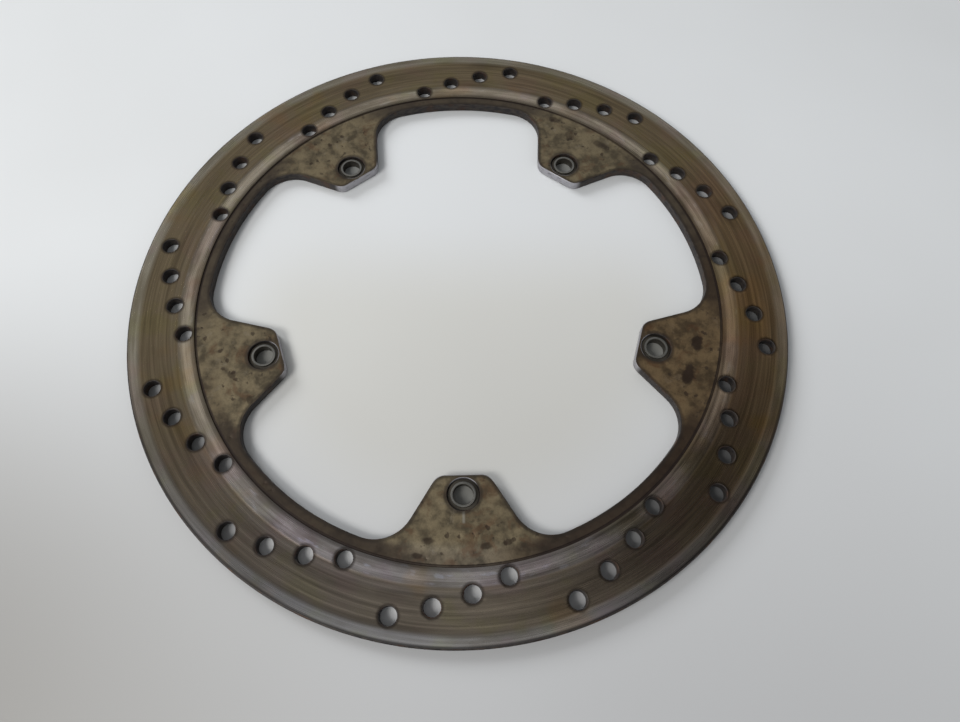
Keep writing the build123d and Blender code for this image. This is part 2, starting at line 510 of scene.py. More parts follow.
def face_pattern(bore_mouth, pits):
    """One face as flat triangles: its points, its faces, and the vertices of each of its closed edges."""
    plan = FacePlan()
    opening = opening_edge()
    loops = [plan.loop(points + inset * inward) for points, inward, inset in disc_loops(bore_mouth)]
    for radius in PROFILE[1:-1, 0]:
        plan.broken_circle(radius, drill_centres(), DRILL_MOUTH + CLEAR_OF_HOLE)
    for pit in pits:
        plan.pit(*pit)
    plan.add(open_lattice(opening, bore_mouth, pits))
    points, faces, vertex_of = plan.triangulate()
    solid = on_steel(points[faces].mean(axis=1), opening, bore_mouth)
    return points, faces[solid], [[vertex_of[point] for point in loop] for loop in loops]


def edge_gaps(points, bore_mouth):
    """How far each point is from the nearest edge of the opening or of a hole, up to a reach."""
    gaps = np.minimum(nearest(points, opening_edge()), nearest(points, drill_centres()) - DRILL_MOUTH)
    return np.minimum(gaps, nearest(points, bolt_centres()) - bore_mouth).clip(0, EDGE_REACH)


def worn_face(bore_mouth, seed):
    """One worn face, looking up: its vertices, faces, closed edges, and values per vertex by name."""
    pits = rust_pits(seed)
    points, faces, loops = face_pattern(bore_mouth, pits)
    radius = np.hypot(*points.T)
    heights = np.interp(radius, PROFILE[:, 0], PROFILE[:, 1]) - face_drop(points, pits, seed)
    values = {"pit": pit_depth(points, pits), "edge_gap": edge_gaps(points, bore_mouth)}
    return np.column_stack([points, heights]), faces, loops, values


# ---- meshes


def rounded(size):
    """(inset, drop) of each row down a worn edge: a quarter circle as large as the edge's chamfer."""
    angles = [step * pi / 2 / EDGE_STEPS for step in range(EDGE_STEPS + 1)]
    return [(size * (1 - sin(angle)), size * (1 - cos(angle))) for angle in angles]


def plain_wall(points, directions, inset, heights):
    """Rows of a wall that is rounded at both faces. heights are the face's heights round its loop."""
    rows = []
    edge = rounded(inset)[1:]
    for inward, drop in edge:
        rows.append((points + inward * directions, heights - drop))
    for inward, rise in edge[::-1]:
        rows.append((points + inward * directions, THICKNESS - heights + rise))
    return rows


def bore_wall(points, directions):
    """Rows down the stepped bore, from just inside its mouth to just inside its back edge."""
    step = LUG_FACE - COUNTERBORE_DEPTH
    edge = rounded(BORE_EDGE)[1:]
    sections = [(COUNTERBORE_RADIUS + inward, LUG_FACE - drop) for inward, drop in edge]
    sections += [
        (COUNTERBORE_RADIUS, step + STEP_LEAN),
        (COUNTERBORE_RADIUS - STEP_LEAN, step),
        (SLEEVE_BORE_RADIUS + STEP_LEAN, step),
        (SLEEVE_BORE_RADIUS, step - STEP_LEAN),
    ]
    sections += [(SLEEVE_BORE_RADIUS + inward, LUG_RECESS + rise) for inward, rise in edge[::-1]]
    return [(points + radius * directions, np.full(len(points), height)) for radius, height in sections]


def strip(upper, lower):
    """Quads between two closed rows of vertex numbers, facing away from the steel."""
    count = len(upper)
    return [
        (upper[i], upper[(i + 1) % count], lower[(i + 1) % count], lower[i]) for i in range(count)
    ]


def face_zones(vertices, faces):
    """The zone of each triangle of a face: the lugs and their ring, or the turned ring."""
    middles = vertices[faces, :2].mean(axis=1)
    return np.where(np.hypot(*middles.T) < GROOVE_RADII[1], LUG_ZONE, TURNED_ZONE).tolist()


def disc_mesh():
    """The whole disc: two worn faces, and between them the walls of rim, opening and every hole."""
    top_mouth = COUNTERBORE_RADIUS + BORE_EDGE
    front, front_faces, front_loops, front_values = worn_face(top_mouth, FRONT_SEED)
    back, back_faces, back_loops, back_values = worn_face(SLEEVE_BORE_RADIUS + BORE_EDGE, BACK_SEED)
    back[:, 2] = THICKNESS - back[:, 2]
    back_faces = back_faces[:, ::-1]
    faces = [*front_faces, *(back_faces + len(front))]
    zones = face_zones(front, front_faces) + face_zones(back, back_faces)
    vertices = [front, back]
    wall_start = count = len(front) + len(back)
    for number, (points, directions, inset) in enumerate(disc_loops(top_mouth)):
        top = front_loops[number]
        bottom = [len(front) + vertex for vertex in back_loops[number]]
        if inset == top_mouth:
            wall = bore_wall(points, directions)
        else:
            wall = plain_wall(points, directions, inset, front[top, 2])
        rows = [top]
        for row_points, heights in wall:
            vertices.append(np.column_stack([row_points, heights]))
            rows.append(range(count, count + len(row_points)))
            count += len(row_points)
        rows.append(bottom)
        for upper, lower in zip(rows, rows[1:]):
            quads = strip(upper, lower)
            faces += [quad[::-1] for quad in quads] if number == 0 else quads
    zones += [WALL_ZONE] * (len(faces) - len(zones))
    on_walls = np.zeros(count - wall_start)
    values = {
        name: np.concatenate([front_values[name], back_values[name], on_walls]) for name in front_values
    }
    return make_mesh("worn_disc", np.vstack(vertices), faces, zones, **values)


def make_mesh(name, vertices, faces, zones=None, **values):
    """A smooth mesh from millimetres, sharp where it turns hard, with values or vectors per vertex.

    zones, if given, is the number of the material of each face.
    """
    mesh = bpy.data.meshes.new(name)
    mesh.from_pydata((vertices * MM).tolist(), [], [tuple(int(v) for v in face) for face in faces])
    if zones:
        mesh.polygons.foreach_set("material_index", zones)
    for value_name, numbers in values.items():
        kind, field = ("FLOAT", "value") if numbers.ndim == 1 else ("FLOAT_VECTOR", "vector")
        attribute = mesh.attributes.new(value_name, kind, "POINT")
        attribute.data.foreach_set(field, numbers.astype(np.float32).ravel())
    tidy = bmesh.new()
    tidy.from_mesh(mesh)
    loose = [vertex for vertex in tidy.verts if not vertex.link_faces]
    bmesh.ops.delete(tidy, geom=loose, context="VERTS")
    tidy.to_mesh(mesh)
    tidy.free()
    mesh.shade_smooth()
    mesh.set_sharp_from_angle(angle=SHARP_ANGLE)
    return mesh


def rounded_corners(corners, size):
    """A closed (radius, height) section with every corner turned into a small arc."""
    section = []
    corners = np.array(corners, float)
    backs, ons = np.roll(corners, 1, axis=0) - corners, np.roll(corners, -1, axis=0) - corners
    for corner, back, on in zip(corners, backs, ons):
        back_length, on_length = np.linalg.norm(back), np.linalg.norm(on)
        cut = min(size, CORNER_SHARE * back_length, CORNER_SHARE * on_length)
        start, end = corner + cut * back / back_length, corner + cut * on / on_length
        for step in range(EDGE_STEPS):
            share = step / (EDGE_STEPS - 1)
            section.append((1 - share) ** 2 * start + 2 * share * (1 - share) * corner + share**2 * end)
    return section


def lathe(name, section, centre):
    """A mesh turned from a closed section about an upright axis through centre.

    The attribute "local" holds each point measured from that axis, in millimetres.
    """
    directions = compass(LATHE_SEGMENTS)
    local = np.vstack([
        np.column_stack([radius * directions, np.full(LATHE_SEGMENTS, height)])
        for radius, height in section
    ])
    rows = [list(range(i * LATHE_SEGMENTS, (i + 1) * LATHE_SEGMENTS)) for i in range(len(section))]
    faces = []
    for upper, lower in zip(rows, rows[1:] + rows[:1]):
        faces += strip(upper, lower)
    return make_mesh(name, local + (*centre, 0), faces, local=local)


def radius_and_heights(node):
    """The outer radius and the lowest and highest point of a round CAD piece, in millimetres."""
    low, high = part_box(node)
    return (high.x - low.x) / 2 / MM, low.z / MM, high.z / MM


def bush_section(node):
    """The bush's section, from its CAD box and the screw hole: sleeve, flange and neck."""
    flange_radius, foot, top = radius_and_heights(node)
    flange_foot = LUG_FACE - COUNTERBORE_DEPTH + WASHER_SPACE
    flange_top = flange_foot + FLANGE_THICKNESS
    return rounded_corners(
        [
            (SCREW_HOLE_RADIUS, foot),
            (SLEEVE_RADIUS, foot),
            (SLEEVE_RADIUS, flange_foot),
            (flange_radius, flange_foot),
            (flange_radius, flange_top),
            (SLEEVE_RADIUS, flange_top),
            (SLEEVE_RADIUS, top),
            (SCREW_HOLE_RADIUS, top),
        ],
        BUSH_EDGE,
    )


def washer_section(node):
    """The conical washer's section, from its CAD box."""
    outer_radius, foot, crown = radius_and_heights(node)
    return rounded_corners(
        [
            (WASHER_INNER_RADIUS, crown - WASHER_THICKNESS),
            (outer_radius, foot),
            (outer_radius, foot + WASHER_THICKNESS),
            (WASHER_INNER_RADIUS, crown),
        ],
        WASHER_EDGE,
    )


# ---- materials


class Shader:
    """A material under construction: short calls that add nodes and wire them up."""

    def __init__(self, name, **fixed):
        self.material = bpy.data.materials.new(name)
        self.material.use_nodes = True
        self.tree = self.material.node_tree
        self.tree.nodes.clear()
        self.surface = self.add("BsdfPrincipled")
        self.fill(self.surface, **fixed)
        output = self.add("OutputMaterial")
        self.tree.links.new(self.surface.outputs["BSDF"], output.inputs["Surface"])

    def add(self, kind, *inputs, **settings):
        """A node of some kind, its settings, and its inputs in order: outputs to link, or plain values."""
        node = self.tree.nodes.new("ShaderNode" + kind)
        for setting, value in settings.items():
            setattr(node, setting, value)
        for socket, value in zip(node.inputs, inputs):
            self.feed(socket, value)
        return node

    def feed(self, socket, value):
        if isinstance(value, bpy.types.NodeSocket):
            self.tree.links.new(value, socket)
        elif value is not None:
            socket.default_value = value

    def fill(self, node, **sockets):
        """Feeds sockets by name, with _ for each space."""
        for name, value in sockets.items():
            self.feed(node.inputs[name.replace("_", " ")], value)

    def math(self, operation, *values):
        return self.add("Math", *values, operation=operation).outputs[0]

    def product(self, *values):
        result = values[0]
        for value in values[1:]:
            result = self.math("MULTIPLY", result, value)
        return result

    def times_plus(self, value, factor, other):
        return self.math("MULTIPLY_ADD", value, factor, other)

    def vector_math(self, operation, *values):
        return self.add("VectorMath", *values, operation=operation).outputs[0]

    def shift(self, vector, offset):
        return self.vector_math("ADD", vector, offset)

    def scale(self, vector, factor):
        return self.vector_math("SCALE", vector, None, None, factor)

    def dot(self, first, second):
        return self.add("VectorMath", first, second, operation="DOT_PRODUCT").outputs["Value"]

    def length(self, vector):
        return self.add("VectorMath", vector, operation="LENGTH").outputs["Value"]

    def combine(self, *values):
        return self.add("CombineXYZ", *values).outputs[0]

    def separate(self, vector):
        return self.add("SeparateXYZ", vector).outputs

    def fade(self, value, start, end, low=0.0, high=1.0):
        """Goes smoothly from low, where value is start, to high, where it is end."""
        smooth = {"interpolation_type": "SMOOTHSTEP"}
        return self.add("MapRange", value, start, end, low, high, **smooth).outputs[0]

    def between(self, value, low, high, soft):
        """1 where value lies between low and high, with soft edges that wide."""
        above_low = self.fade(value, low - soft / 2, low + soft / 2)
        below_high = self.fade(value, high + soft / 2, high - soft / 2)
        return self.product(above_low, below_high)

    def noise(self, vector, scale, detail=3.0, roughness=0.55, distortion=0.0):
        node = self.add("TexNoise")
        self.fill(node, Vector=vector, Scale=scale, Detail=detail)
        self.fill(node, Roughness=roughness, Distortion=distortion)
        return node.outputs["Fac"]

    def mix(self, share, first, second, blend="MIX"):
        """One colour into another, as far as share goes."""
        node = self.add("Mix", data_type="RGBA", blend_type=blend)
        self.feed(node.inputs[0], share)
        self.feed(node.inputs[6], (*first, 1) if isinstance(first, tuple) else first)
        self.feed(node.inputs[7], (*second, 1) if isinstance(second, tuple) else second)
        return node.outputs[2]

    def cover(self, colour, layers):
        """A colour under layers, each given by where it lies, how thick it is, and its colour."""
        for place, thickness, paint in layers:
            colour = self.mix(self.product(place, thickness), colour, paint)
        return colour

    def tint(self, colour, tints):
        """A colour multiplied by tints, each given by where it lies and its factor."""
        for place, factor in tints:
            colour = self.mix(place, colour, factor, blend="MULTIPLY")
        return colour

    def bump(self, height, distance, strength):
        node = self.add("Bump")
        self.fill(node, Height=height, Distance=distance, Strength=strength)
        return node.outputs["Normal"]

    def attribute(self, name, output="Fac"):
        return self.add("Attribute", attribute_name=name).outputs[output]

    def finish(self, colour, roughness, normal, **sockets):
        self.fill(self.surface, Base_Color=colour, Roughness=roughness, Normal=normal, **sockets)
        return self.material


def in_millimetres(shader):
    """The place of each point in the object's own frame, in millimetres."""
    return shader.scale(shader.add("TexCoord").outputs["Object"], 1 / MM)


def round_the_axis(shader, position):
    """The distance from the upright axis, and the direction from it."""
    flat = shader.vector_math("MULTIPLY", position, (1, 1, 0))
    return shader.length(flat), shader.vector_math("NORMALIZE", flat)


def ring_streaks(shader, radius, direction, length, width):
    """Noise drawn out round the axis: streaks about so long and so wide, at the swept band."""
    around = shader.scale(direction, SWEPT_RADII[0] / length)
    across = shader.combine(0, 0, shader.math("DIVIDE", radius, width))
    return shader.noise(shader.shift(around, across), 1.0)


def lathe_lines(shader, radius, direction, fineness):
    """Noise in fine circles round the axis."""
    across = shader.combine(0, 0, shader.product(radius, fineness))
    return shader.noise(shader.shift(direction, across), 1.0)


def distance_to(shader, position, x, y):
    return shader.length(shader.vector_math("SUBTRACT", position, (x, y, 0)))


def stain(shader, position, ragged, angle, radius, depth, width):
    """A soft blot at an angle in degrees and a radius, so deep outwards and so wide across."""
    out = (cos(radians(angle)), sin(radians(angle)), 0)
    across = (-out[1], out[0], 0)
    outward = shader.math("SUBTRACT", shader.dot(position, out), radius)
    outward = shader.math("DIVIDE", outward, depth / 2)
    sideways = shader.math("DIVIDE", shader.dot(position, across), width / 2)
    distance = shader.length(shader.combine(outward, sideways, 0))
    return shader.fade(shader.math("ADD", distance, ragged), 1.75, 1.15)


def near_angle(shader, direction, angle, spread, full=0):
    """1 up to full degrees to each side of an angle round the ring, fading to 0 at spread degrees."""
    towards = (cos(radians(angle)), sin(radians(angle)), 0)
    return shader.fade(shader.dot(direction, towards), cos(radians(spread)), cos(radians(full)))


def between_lugs(shader, direction):
    """0 at the middle of each lug, rising to 1 where the ring has none."""
    x, y, _ = shader.separate(direction)
    turns = shader.product(shader.math("ARCTAN2", y, x), LUG_COUNT)
    nearness = shader.math("COSINE", shader.math("SUBTRACT", turns, LUG_COUNT * FIRST_LUG_ANGLE))
    return shader.fade(nearness, 0.85, 0.1)


def turned_bands(shader, radius, direction, circles, patches, crown):
    """The colour of the inner lip, the swept band and the outer lip, with painted light and shade on each.
    """
    low, high = SWEPT_RADII
    long_streaks = ring_streaks(shader, radius, direction, 45, 1.3)
    streak_tone = shader.times_plus(long_streaks, 0.6, shader.product(circles, 0.4))
    lip_tone = shader.fade(shader.times_plus(patches, 0.5, shader.product(streak_tone, 0.5)), 0.34, 0.66)
    # Painted shade: the swept band and the outer lip are darkened towards the lower left of the ring.
    painted_shade_lower_left = near_angle(shader, direction, 226, 42)

    swept = shader.mix(shader.fade(streak_tone, 0.3, 0.72), (0.16, 0.122, 0.074), (0.33, 0.256, 0.158))
    # Painted shade on the swept band, at the lower left and at the upper right.
    swept = shader.tint(swept, [
        (painted_shade_lower_left, (0.72, 0.72, 0.75)),
        (near_angle(shader, direction, 38, 60), (0.9, 0.88, 0.85)),
    ])
    outer_lip = shader.mix(lip_tone, (0.24, 0.205, 0.145), (0.46, 0.415, 0.33))
    # Painted shade on the outer lip at the lower left, and painted light on it at the bottom and at the
    # left.
    outer_lip = shader.tint(outer_lip, [
        (painted_shade_lower_left, (0.72, 0.72, 0.74)),
        (near_angle(shader, direction, 270, 30), (1.22, 1.22, 1.22)),
        (near_angle(shader, direction, 180, 30), (1.2, 1.2, 1.2)),
    ])
    inner_lip = shader.mix(lip_tone, (0.26, 0.21, 0.15), (0.74, 0.64, 0.5))
    # Painted light on the inner lip at the lower right.
    inner_lip = shader.tint(inner_lip, [(near_angle(shader, direction, 330, 26), (1.4, 1.4, 1.4))])
    beside_crown = shader.fade(crown, 1.0, 0.0, 0.0, 0.72)
    inner_lip = shader.mix(beside_crown, inner_lip, (0.07, 0.054, 0.035))
    colour = shader.mix(shader.fade(radius, low - 0.7, low + 0.7), inner_lip, swept)
    return shader.mix(shader.fade(radius, high - 1.2, high + 1.6), colour, outer_lip)


def turned_steel():
    """The ring's faces: browned turned steel, with the band that the pads swept darker than its lips."""
    shader = Shader("turned_steel", Anisotropic=0.35)
    position = in_millimetres(shader)
    radius, direction = round_the_axis(shader, position)
    fine_streaks = ring_streaks(shader, radius, direction, 14, 0.35)
    circles = shader.noise(shader.combine(radius, 0, 0), 1.1, detail=4)
    patches = ring_streaks(shader, radius, direction, 30, 9)
    crown = shader.product(
        shader.fade(radius, GROOVE_RADII[1] - 0.5, LIP_CROWN - 0.2),
        shader.fade(radius, SWEPT_RADII[0] + 1, LIP_CROWN + 0.2),
    )
    flecks = ring_streaks(shader, radius, direction, 9, 2.5)
    glints = shader.product(shader.fade(flecks, 0.58, 0.7), crown)
    # A band along the rim, which gets painted shade on the lower half of the ring.
    rim = shader.fade(radius, OUTER_RADIUS - 1.9, OUTER_RADIUS - 0.9)

    colour = turned_bands(shader, radius, direction, circles, patches, crown)
    colour = shader.cover(colour, [
        (shader.between(radius, 129.3, 131.6, 2.0), 0.3, (0.33, 0.27, 0.19)),
        (glints, 0.4, (0.75, 0.71, 0.66)),
        (shader.fade(patches, 0.52, 0.75), 0.35, (0.06, 0.042, 0.028)),
    ])
    # Heat and rust tints, and painted light and shade round the ring.
    colour = shader.tint(colour, heat_tints_and_painted_light(shader, position, direction))
    # Painted shade along the rim on the lower half of the ring. Round each drilled hole, a darkening that
    # is partly dirt and partly painted shade.
    colour = shader.cover(colour, [
        (shader.product(rim, near_angle(shader, direction, 272, 95, 50)), 0.85, (0.03, 0.027, 0.026)),
        (shader.fade(shader.attribute("edge_gap"), 1.3, 0.1), 0.68, (0.03, 0.023, 0.02)),
    ])

    roughness = shader.times_plus(fine_streaks, 0.14, shader.times_plus(patches, 0.1, 0.15))
    ridges = shader.times_plus(fine_streaks, 0.6, circles)
    tangent = shader.add("Tangent", direction_type="RADIAL", axis="Z").outputs[0]
    normal = shader.bump(ridges, 0.00002, 0.6)
    return shader.finish(colour, roughness, normal, Metallic=0.95, Tangent=tangent)


def heat_tints_and_painted_light(shader, position, direction):
    """Tints: faint drifting ones that heat and rust left, then broad ones that face one way each, which
    are painted light and shade round the ring.
    """
    drift = shader.noise(shader.shift(position, (310, 90, 40)), 0.045)
    other_drift = shader.noise(shader.shift(position, (-120, 45, 10)), 0.03)
    return [
        (shader.fade(drift, 0.52, 0.64), (0.98, 1.01, 0.88)),
        (shader.fade(drift, 0.48, 0.36), (1.03, 0.97, 1.03)),
        (shader.fade(other_drift, 0.52, 0.66), (1.08, 0.97, 0.84)),
        # Painted light and shade round the ring, each facing one way.
        (near_angle(shader, direction, 258, 55), (0.97, 1.05, 1.33)),
        (near_angle(shader, direction, 283, 22), (1.35, 1.34, 1.32)),
        (near_angle(shader, direction, 312, 30), (0.86, 0.86, 0.95)),
        (near_angle(shader, direction, 352, 50), (0.98, 0.86, 0.76)),
    ]


def mottled_lugs(shader, position, mottle, grain):
    """The lugs' plain colour: olive-brown, mottled, with rusty and paler patches and dark grain."""
    broad = shader.noise(position, 0.06, roughness=0.6)
    elsewhere = shader.shift(position, (0, 81, 0))
    rust = shader.noise(elsewhere, 0.11, detail=5, roughness=0.65, distortion=0.5)
    tone = shader.times_plus(mottle, 0.55, shader.product(broad, 0.45))
    colour = shader.mix(shader.fade(tone, 0.38, 0.6), (0.085, 0.067, 0.041), (0.225, 0.179, 0.107))
    return shader.cover(colour, [
        (shader.fade(rust, 0.52, 0.66), 0.65, (0.12, 0.066, 0.034)),
        (shader.fade(rust, 0.42, 0.3), 0.5, (0.25, 0.21, 0.15)),
        (shader.fade(grain, 0.45, 0.75), 0.35, (0.06, 0.046, 0.029)),
    ])


def lug_painted_light_and_shade(shader, radius, direction):
    """Painted light and shade that face one way each: the first over lug and lug ring, the others on the
    lug ring.
    """
    on_ring = shader.fade(radius, 113, 116)
    near_ring = shader.fade(radius, 110, 116)
    return [
        # Painted shade on the right lug, painted shade on the lug ring at the lower left and the lower
        # right, and painted light on it at the bottom.
        (near_angle(shader, direction, -18, 45), (0.8, 0.68, 0.58)),
        (shader.product(near_angle(shader, direction, 240, 50), on_ring), (0.66, 0.62, 0.6)),
        (shader.product(near_angle(shader, direction, 268, 14), near_ring), (1.35, 1.45, 1.7)),
        (shader.product(near_angle(shader, direction, 302, 34), on_ring), (0.62, 0.56, 0.56)),
    ]


def weathered_steel():
    """The lugs and the lug ring: dull olive-brown steel with stains, scabs, pits, and edges darkened
    partly by dirt and partly by painted shade.
    """
    shader = Shader("weathered_steel")
    position = in_millimetres(shader)
    radius, direction = round_the_axis(shader, position)
    mottle = shader.noise(shader.shift(position, (57, 0, 0)), 0.2, detail=5, roughness=0.6)
    grain = shader.noise(position, 1.6, detail=4, roughness=0.7)
    scabs = shader.noise(shader.shift(position, (0, 0, 33)), 0.3, roughness=0.5)
    ragged = shader.noise(position, 0.5)
    ragged_pit = shader.times_plus(shader.math("SUBTRACT", grain, 0.5), 1.2, shader.attribute("pit"))
    ring = shader.product(shader.fade(radius, 112, 116), between_lugs(shader, direction))
    scratch_width = shader.between(shader.separate(position)[0], -0.5, 0.5, 0.8)
    scratch = shader.product(scratch_width, shader.between(radius, 98.6, 103.6, 1.2))

    colour = mottled_lugs(shader, position, mottle, grain)
    colour = shader.cover(colour, [(ring, 0.78, (0.046, 0.034, 0.026))])
    # Painted light and shade on the lugs and the lug ring, facing one way each.
    colour = shader.tint(colour, lug_painted_light_and_shade(shader, radius, direction))
    for *place, strength in STAINS:
        blot = stain(shader, position, ragged, *place)
        colour = shader.cover(colour, [(blot, strength, (0.026, 0.015, 0.009))])
    colour = shader.cover(colour, [(shader.fade(scabs, 0.64, 0.72), 0.7, (0.036, 0.025, 0.017))])
    colour = shader.mix(shader.fade(ragged_pit, 0.1, 0.7, 0.0, 0.75), colour, (0.036, 0.022, 0.014))
    colour = shader.cover(colour, [
        (scratch, 0.6, (0.34, 0.32, 0.27)),
        # The edges of the opening and the bores are darkened, partly as dirt and partly as painted shade.
        (shader.fade(shader.attribute("edge_gap"), 1.7, 0.5), 0.62, (0.026, 0.02, 0.016)),
        # Painted shade on the groove's floor.
        (shader.fade(radius, GROOVE_RADII[0] - 0.3, GROOVE_RADII[0] + 0.1), 0.75, (0.03, 0.02, 0.017)),
    ])

    roughness = shader.times_plus(mottle, 0.3, 0.34)
    height = shader.times_plus(grain, 0.6, mottle)
    return shader.finish(colour, roughness, shader.bump(height, 0.00012, 0.5), Metallic=0.55)


def rusty_edge():
    """The cut walls of the rim, the opening and the holes: dirty and rusty, bare at the lugs' tips."""
    shader = Shader("rusty_edge", Specular_IOR_Level=0.3)
    position = in_millimetres(shader)
    radius, _ = round_the_axis(shader, position)
    streaks = shader.noise(shader.vector_math("MULTIPLY", position, (1, 1, 3.5)), 0.35, detail=4)
    rust = shader.noise(position, 0.15, detail=5, roughness=0.6)
    bare = shader.product(shader.fade(radius, 89, 85.5), shader.fade(streaks, 0.2, 0.5))
    colour = shader.mix(shader.fade(streaks, 0.35, 0.65), (0.018, 0.016, 0.017), (0.052, 0.043, 0.037))
    colour = shader.cover(colour, [
        (shader.fade(rust, 0.5, 0.68), 0.7, (0.06, 0.028, 0.014)),
        (bare, 0.85, (0.5, 0.49, 0.52)),
    ])
    roughness = shader.times_plus(streaks, 0.3, 0.35)
    metallic = shader.times_plus(bare, 0.6, 0.25)
    return shader.finish(colour, roughness, shader.bump(streaks, 0.0001, 0.5), Metallic=metallic)


def bush_steel():
    """The bushes: plated steel, bright at the neck's end, dark in the bore and on flange and sleeve,
    partly with dirt and partly with painted shade.
    """
    shader = Shader("bush_steel", Anisotropic=0.4)
    local = shader.attribute("local", "Vector")
    radius, direction = round_the_axis(shader, local)
    height = shader.separate(local)[2]
    lines = lathe_lines(shader, radius, direction, 5)
    smudges = shader.noise(shader.shift(local, shader.scale(in_millimetres(shader), 3)), 0.5, detail=4)
    flange = shader.fade(radius, SLEEVE_RADIUS - 0.3, SLEEVE_RADIUS + 0.2)
    foot = shader.fade(height, 2.2, 0.6)
    bore = shader.fade(radius, SCREW_HOLE_RADIUS + 0.25, SCREW_HOLE_RADIUS + 0.05)
    # Dark in the hollows where the bush sits: on the flange, at the sleeve's foot and in the bore, partly
    # dirt and partly painted shade.
    dirt_and_painted_shade = shader.math("MAXIMUM", flange, shader.product(foot, 0.7))
    dirt_and_painted_shade = shader.math("MAXIMUM", dirt_and_painted_shade, shader.product(bore, 0.85))
    colour = shader.mix(shader.fade(lines, 0.3, 0.7), (0.17, 0.17, 0.155), (0.36, 0.355, 0.33))
    colour = shader.cover(colour, [
        (shader.fade(smudges, 0.45, 0.7), 0.55, (0.16, 0.13, 0.1)),
        (dirt_and_painted_shade, 0.9, (0.075, 0.064, 0.05)),
    ])
    roughness = shader.times_plus(smudges, 0.3, shader.times_plus(dirt_and_painted_shade, 0.2, 0.22))
    return shader.finish(colour, roughness, shader.bump(lines, 0.00003, 0.5), Metallic=0.9)


def washer_steel():
    """The spring washers: blued spring steel, brown in patches and dark with dirt at the outer edge."""
    shader = Shader("washer_steel", Anisotropic=0.5)
    radius, direction = round_the_axis(shader, shader.attribute("local", "Vector"))
    lines = lathe_lines(shader, radius, direction, 7)
    patches = shader.noise(in_millimetres(shader), 0.3, detail=4)
    colour = shader.mix(shader.fade(lines, 0.3, 0.7), (0.12, 0.12, 0.14), (0.24, 0.23, 0.24))
    colour = shader.cover(colour, [
        (shader.fade(patches, 0.45, 0.65), 0.7, (0.2, 0.12, 0.06)),
        (shader.fade(radius, 6.15, 6.45), 0.6, (0.04, 0.033, 0.03)),
    ])
    roughness = shader.times_plus(patches, 0.25, 0.25)
    return shader.finish(colour, roughness, shader.bump(lines, 0.00002, 0.5), Metallic=0.9)


def floor_painted_light_and_shade(shader, position):
    """Painted light and shade on the floor by the disc: faintly warm painted light in the opening's lower
    half, and painted shade under each bush.

    Under the ring there is painted shade to the right and the lower left, and painted light at the bottom.
    """
    radius, direction = round_the_axis(shader, position)
    lower_half = shader.fade(shader.separate(position)[1], 50, -10)
    # Painted warm light thrown back by the steel, in the opening's lower half.
    tints = [(shader.product(shader.fade(radius, 122, 70), lower_half), (0.92, 0.9, 0.85))]
    # Under the ring, seen through the drilled holes: painted shade to the right and the lower left, and
    # painted light at the bottom.
    under_ring = shader.between(radius, *HOLES_BAND, 2)
    for angle, spread, factor in ((338, 55, 0.22), (212, 22, 0.65), (254, 40, 1.4)):
        place = shader.product(under_ring, near_angle(shader, direction, angle, spread, 12))
        tints.append((place, (factor, factor, factor)))
    # Painted shade under each bush, seen through its bore.
    for x, y in bolt_centres():
        under_bush = shader.fade(distance_to(shader, position, x, y), *BUSH_SHADE_RADII)
        tints.append((under_bush, (0.42, 0.42, 0.4)))
    return tints


def table_top():
    """The pale floor: a smooth off-white board, with a painted soft shadow in front and one at the left.
    """
    shader = Shader("table_top")
    position = in_millimetres(shader)
    clouds = shader.noise(position, 0.004)
    fine = shader.noise(position, 0.9)
    # Painted shadows on the floor: one in front of the disc and one to its left.
    shadow_in_front = shader.fade(distance_to(shader, position, 60, -330), 450, 30)
    shadow_to_the_left = shader.fade(distance_to(shader, position, -260, -230), 290, 70)
    cloudy = shader.product(shader.fade(clouds, 0.35, 0.75), 0.6)
    colour = shader.mix(cloudy, (0.75, 0.765, 0.775), (0.69, 0.7, 0.7))
    colour = shader.mix(shadow_in_front, colour, (0.43, 0.43, 0.435))
    colour = shader.mix(shadow_to_the_left, colour, (0.28, 0.27, 0.255))
    colour = shader.tint(colour, floor_painted_light_and_shade(shader, position))
    roughness = shader.times_plus(clouds, 0.12, 0.46)
    return shader.finish(colour, roughness, shader.bump(fine, 0.00002, 0.3))


# ---- the object


def add_object(name, data):
    made = bpy.data.objects.new(name, data)
    bpy.context.scene.collection.objects.link(made)
    return made


def add_piece(mesh, body, node, slot, *materials):
    """A piece that stands for one CAD node, rides on a body, and takes the materials given. slot is not
    used.
    """
    for material in materials:
        mesh.materials.append(material)
    piece = add_object(mesh.name, mesh)
    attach(piece, body)
    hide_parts(node)
    return piece


def add_disc():
    """The disc, with a material for each zone of its mesh."""
    steels = {TURNED_ZONE: turned_steel(), LUG_ZONE: weathered_steel(), WALL_ZONE: rusty_edge()}
    add_piece(disc_mesh(), "disc", "brake_disc", "disc_steel", *steels.values())


def add_bushes():
    """The five bushes, each on its own body, and the spring washer under each one's flange."""
    bush_material, washer_material = bush_steel(), washer_steel()
    for number, (x, y) in enumerate(bolt_centres(), start=1):
        node = f"mounting_bush_{number}"
        mesh = lathe(f"worn_bush_{number}", bush_section(node), (x, y))
        add_piece(mesh, f"bush_{number}", node, "bush_steel", bush_material)
        node = f"spring_washer_{number}"
        mesh = lathe(f"worn_washer_{number}", washer_section(node), (x, y))
        washer = add_piece(mesh, "disc", node, "washer_steel", washer_material)
        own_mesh(washer)


# ---- floor, lights and camera


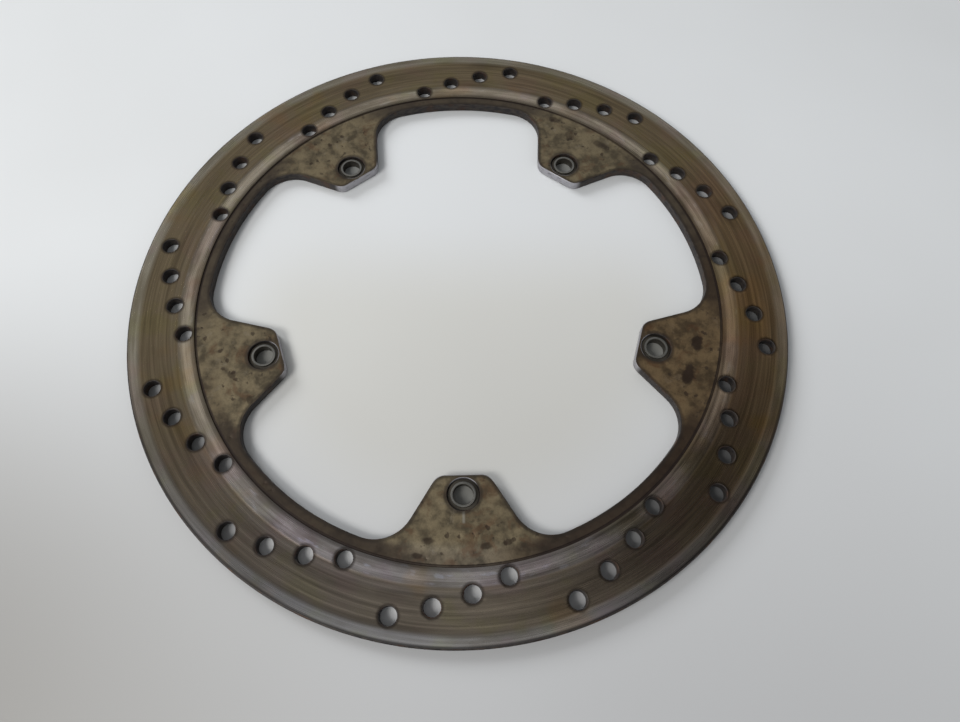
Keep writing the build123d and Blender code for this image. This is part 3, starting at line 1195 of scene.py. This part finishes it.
def add_floor():
    """A floor far larger than the view, just under the disc."""
    half = FLOOR_SIZE / 2
    mesh = bpy.data.meshes.new("floor")
    corners = [(-half, -half, 0), (half, -half, 0), (half, half, 0), (-half, half, 0)]
    mesh.from_pydata(corners, [], [(0, 1, 2, 3)])
    mesh.materials.append(table_top())
    floor = add_object("floor", mesh)
    floor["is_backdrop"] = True


def add_light(name, direction, elevation, distance, size, power, colour, reflected=True):
    """A square soft light that faces the disc, from a direction and an elevation in degrees."""
    data = bpy.data.lights.new(name, "AREA")
    data.shape = "SQUARE"
    data.size = size
    data.energy = power
    data.color = colour
    lamp = add_object(name, data)
    lamp.visible_glossy = reflected
    away = direction_vector(direction, elevation)
    lamp.location = distance * away
    lamp.rotation_euler = away.to_track_quat("Z", "Y").to_euler()


def direction_vector(direction, elevation):
    """The way towards a direction counter-clockwise from +X and an elevation, both in degrees."""
    azimuth, height = radians(direction), radians(elevation)
    return Vector((cos(azimuth) * cos(height), sin(azimuth) * cos(height), sin(height)))


def add_surroundings(strength, colour, dark_direction, dark_elevation):
    """The soft light of the room, which falls to nothing in one part of the ceiling."""
    world = bpy.data.worlds.new("room")
    world.use_nodes = True
    nodes, links = world.node_tree.nodes, world.node_tree.links
    background = nodes["Background"]
    background.inputs["Color"].default_value = (*colour, 1)
    towards = nodes.new("ShaderNodeVectorMath")
    towards.operation = "DOT_PRODUCT"
    towards.inputs[1].default_value = direction_vector(dark_direction, dark_elevation)
    links.new(nodes.new("ShaderNodeTexCoord").outputs["Generated"], towards.inputs[0])
    shade = nodes.new("ShaderNodeMapRange")
    shade.interpolation_type = "SMOOTHSTEP"
    sockets = ("From Min", "From Max", "To Min", "To Max")
    for socket, value in zip(sockets, (*DARK_PATCH_COSINES, strength, 0)):
        shade.inputs[socket].default_value = value
    links.new(towards.outputs["Value"], shade.inputs["Value"])
    links.new(shade.outputs["Result"], background.inputs["Strength"])
    bpy.context.scene.world = world


def add_camera():
    """The camera of the view from above, aimed at a point and rolled a little."""
    back = direction_vector(CAMERA_DIRECTION, CAMERA_ELEVATION)
    turn = back.to_track_quat("Z", "Y").to_matrix()
    data = bpy.data.cameras.new("camera")
    data.lens = CAMERA_LENS
    data.clip_start = 0.01
    camera = add_object("camera", data)
    roll = Matrix.Rotation(radians(CAMERA_ROLL), 3, "Z")
    place = Vector(CAMERA_AIM) * MM + back * CAMERA_DISTANCE * MM
    camera.matrix_world = Matrix.Translation(place) @ (turn @ roll).to_4x4()
    bpy.context.scene.camera = camera


add_disc()
add_bushes()
add_floor()
add_light("key", direction=213, elevation=44, distance=1.4, size=0.5, power=10, colour=WARM_WHITE)
add_light("window", direction=140, elevation=29, distance=3, size=1.3, power=58, colour=COOL_WHITE,
          reflected=False)
add_surroundings(0.38, COOL_WHITE, dark_direction=23, dark_elevation=71)
add_camera()
bpy.context.scene.view_settings.view_transform = "Standard"

boxes = {"cad": CAD_BOX, "visual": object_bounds()}
{name: [list(corner) for corner in box] for name, box in boxes.items()}
